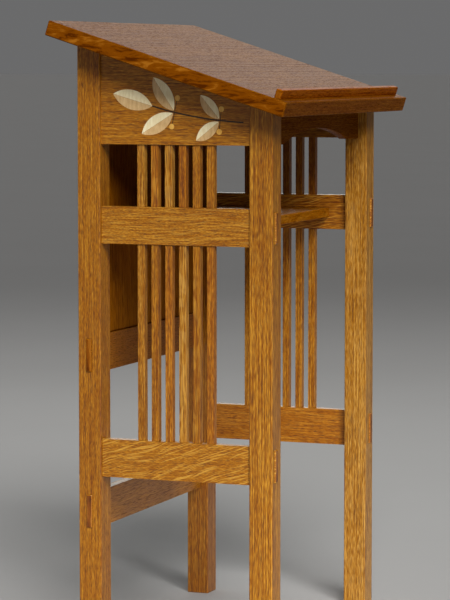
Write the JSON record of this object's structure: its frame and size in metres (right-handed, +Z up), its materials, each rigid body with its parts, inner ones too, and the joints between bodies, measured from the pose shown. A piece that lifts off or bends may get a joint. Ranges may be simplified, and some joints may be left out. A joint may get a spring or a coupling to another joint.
{
  "type": "atlas stand",
  "caption": "Standing-height oak atlas stand with a sloped reading board and book ledge, spindled sides with through tenons, a solid back, an arched apron, a shelf and an inlaid side rail.",
  "frame": {"origin": "on the floor, under the middle of the stand's overall box", "axes": "+Z up, -Y towards the reader at the low front edge of the board, -X towards the inlaid left side"},
  "size_m": [0.66, 0.4344, 1.0795],
  "materials": {
    "oak": "satin oiled quarter-sawn oak",
    "maple": "satin, flush inlay",
    "satinwood": "satin, flush inlay",
    "cherry": "satin, flush inlay",
    "walnut": "satin, flush inlay",
    "steel": "dull, slotted countersunk heads"
  },
  "bodies": {
    "root": {"back_lower_rail": "oak", "back_mid_rail": "oak", "back_panel": "oak", "back_top_rail": "oak", "book_ledge": "oak", "button_screws": "steel", "front_apron": "oak", "front_left_post": "oak", "front_right_post": "oak", "inlay_berries": "cherry", "inlay_leaves_light": "maple", "inlay_leaves_shade": "satinwood", "inlay_stem": "walnut", "left_button_1": "oak", "left_button_2": "oak", "left_button_3": "oak", "left_lower_rail": "oak", "left_lower_spindle_1": "oak", "left_lower_spindle_2": "oak", "left_lower_spindle_3": "oak", "left_lower_spindle_4": "oak", "left_lower_spindle_5": "oak", "left_lower_spindle_6": "oak", "left_mid_rail": "oak", "left_top_rail": "oak", "left_upper_spindle_1": "oak", "left_upper_spindle_2": "oak", "left_upper_spindle_3": "oak", "left_upper_spindle_4": "oak", "left_upper_spindle_5": "oak", "left_upper_spindle_6": "oak", "rear_left_post": "oak", "rear_right_post": "oak", "right_button_1": "oak", "right_button_2": "oak", "right_button_3": "oak", "right_lower_rail": "oak", "right_lower_spindle_1": "oak", "right_lower_spindle_2": "oak", "right_lower_spindle_3": "oak", "right_lower_spindle_4": "oak", "right_lower_spindle_5": "oak", "right_lower_spindle_6": "oak", "right_mid_rail": "oak", "right_top_rail": "oak", "right_upper_spindle_1": "oak", "right_upper_spindle_2": "oak", "right_upper_spindle_3": "oak", "right_upper_spindle_4": "oak", "right_upper_spindle_5": "oak", "right_upper_spindle_6": "oak", "shelf": "oak", "top_board": "oak"}
  },
  "joints": []
}
